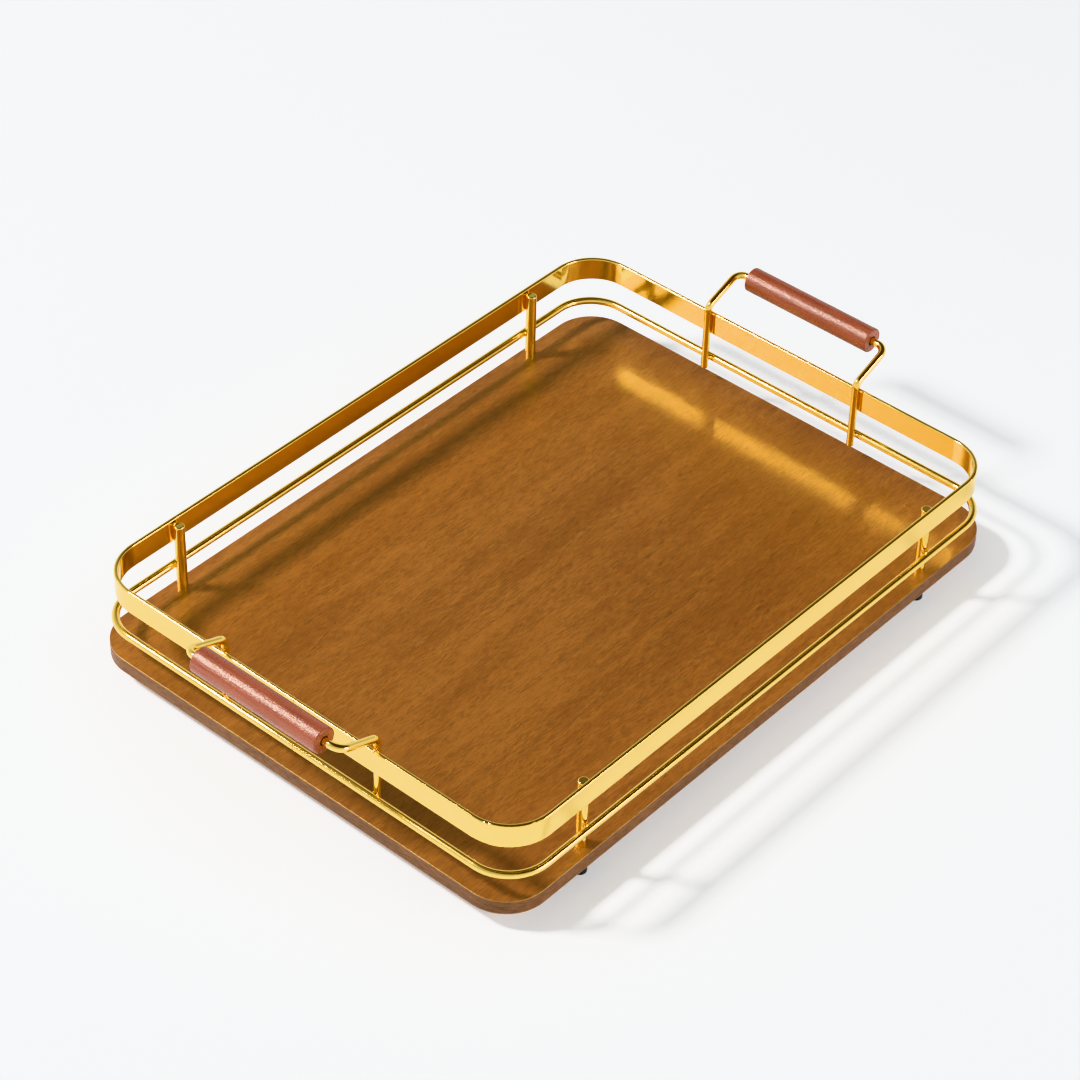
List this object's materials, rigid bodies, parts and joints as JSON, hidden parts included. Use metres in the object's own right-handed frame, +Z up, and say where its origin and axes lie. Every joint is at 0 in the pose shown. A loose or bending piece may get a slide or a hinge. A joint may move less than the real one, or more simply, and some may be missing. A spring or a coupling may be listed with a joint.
{
  "type": "serving tray",
  "caption": "Rectangular serving tray: a veneered wooden board with rounded corners, a polished gold-coloured gallery rail, end handles with turned wooden grips, and black rubber feet.",
  "frame": {"origin": "under the middle of the tray, on the surface that its feet stand on", "axes": "+Z up; +X along the board's length to the right-hand handle; +Y to the back long side"},
  "size_m": [0.4506, 0.2952, 0.0878],
  "materials": {
    "core_board": "raw",
    "veneer": "satin",
    "board_edge": "satin",
    "gold_metal": "polished",
    "weld_metal": "polished",
    "grip_wood": "satin",
    "screw_steel": "satin",
    "black_rubber": "matte"
  },
  "bodies": {
    "tray": {"board_core": "core_board", "top_veneer": "veneer", "bottom_veneer": "veneer", "edge_band": "board_edge", "upper_band": "gold_metal", "lower_wire_rail": "gold_metal", "band_butt_weld": "weld_metal", "wire_rail_butt_weld": "weld_metal", "post_front_left": "gold_metal", "post_weld_front_left": "weld_metal", "screw_front_left": "screw_steel", "foot_front_left": "black_rubber", "post_front_right": "gold_metal", "post_weld_front_right": "weld_metal", "screw_front_right": "screw_steel", "foot_front_right": "black_rubber", "post_back_left": "gold_metal", "post_weld_back_left": "weld_metal", "screw_back_left": "screw_steel", "foot_back_left": "black_rubber", "post_back_right": "gold_metal", "post_weld_back_right": "weld_metal", "screw_back_right": "screw_steel", "foot_back_right": "black_rubber", "handle_wire_left": "gold_metal", "handle_weld_left": "weld_metal", "handle_wire_right": "gold_metal", "handle_weld_right": "weld_metal"},
    "left_grip": {"grip_left": "grip_wood"},
    "right_grip": {"grip_right": "grip_wood"}
  },
  "joints": [
    {"name": "left_grip_spin", "type": "hinge", "parent": "tray", "child": "left_grip", "pos_m": [-0.218, 0, 0.0806], "axis": [0, 1, 0], "continuous": true},
    {"name": "right_grip_spin", "type": "hinge", "parent": "tray", "child": "right_grip", "pos_m": [0.218, 0, 0.0806], "axis": [0, 1, 0], "continuous": true}
  ]
}
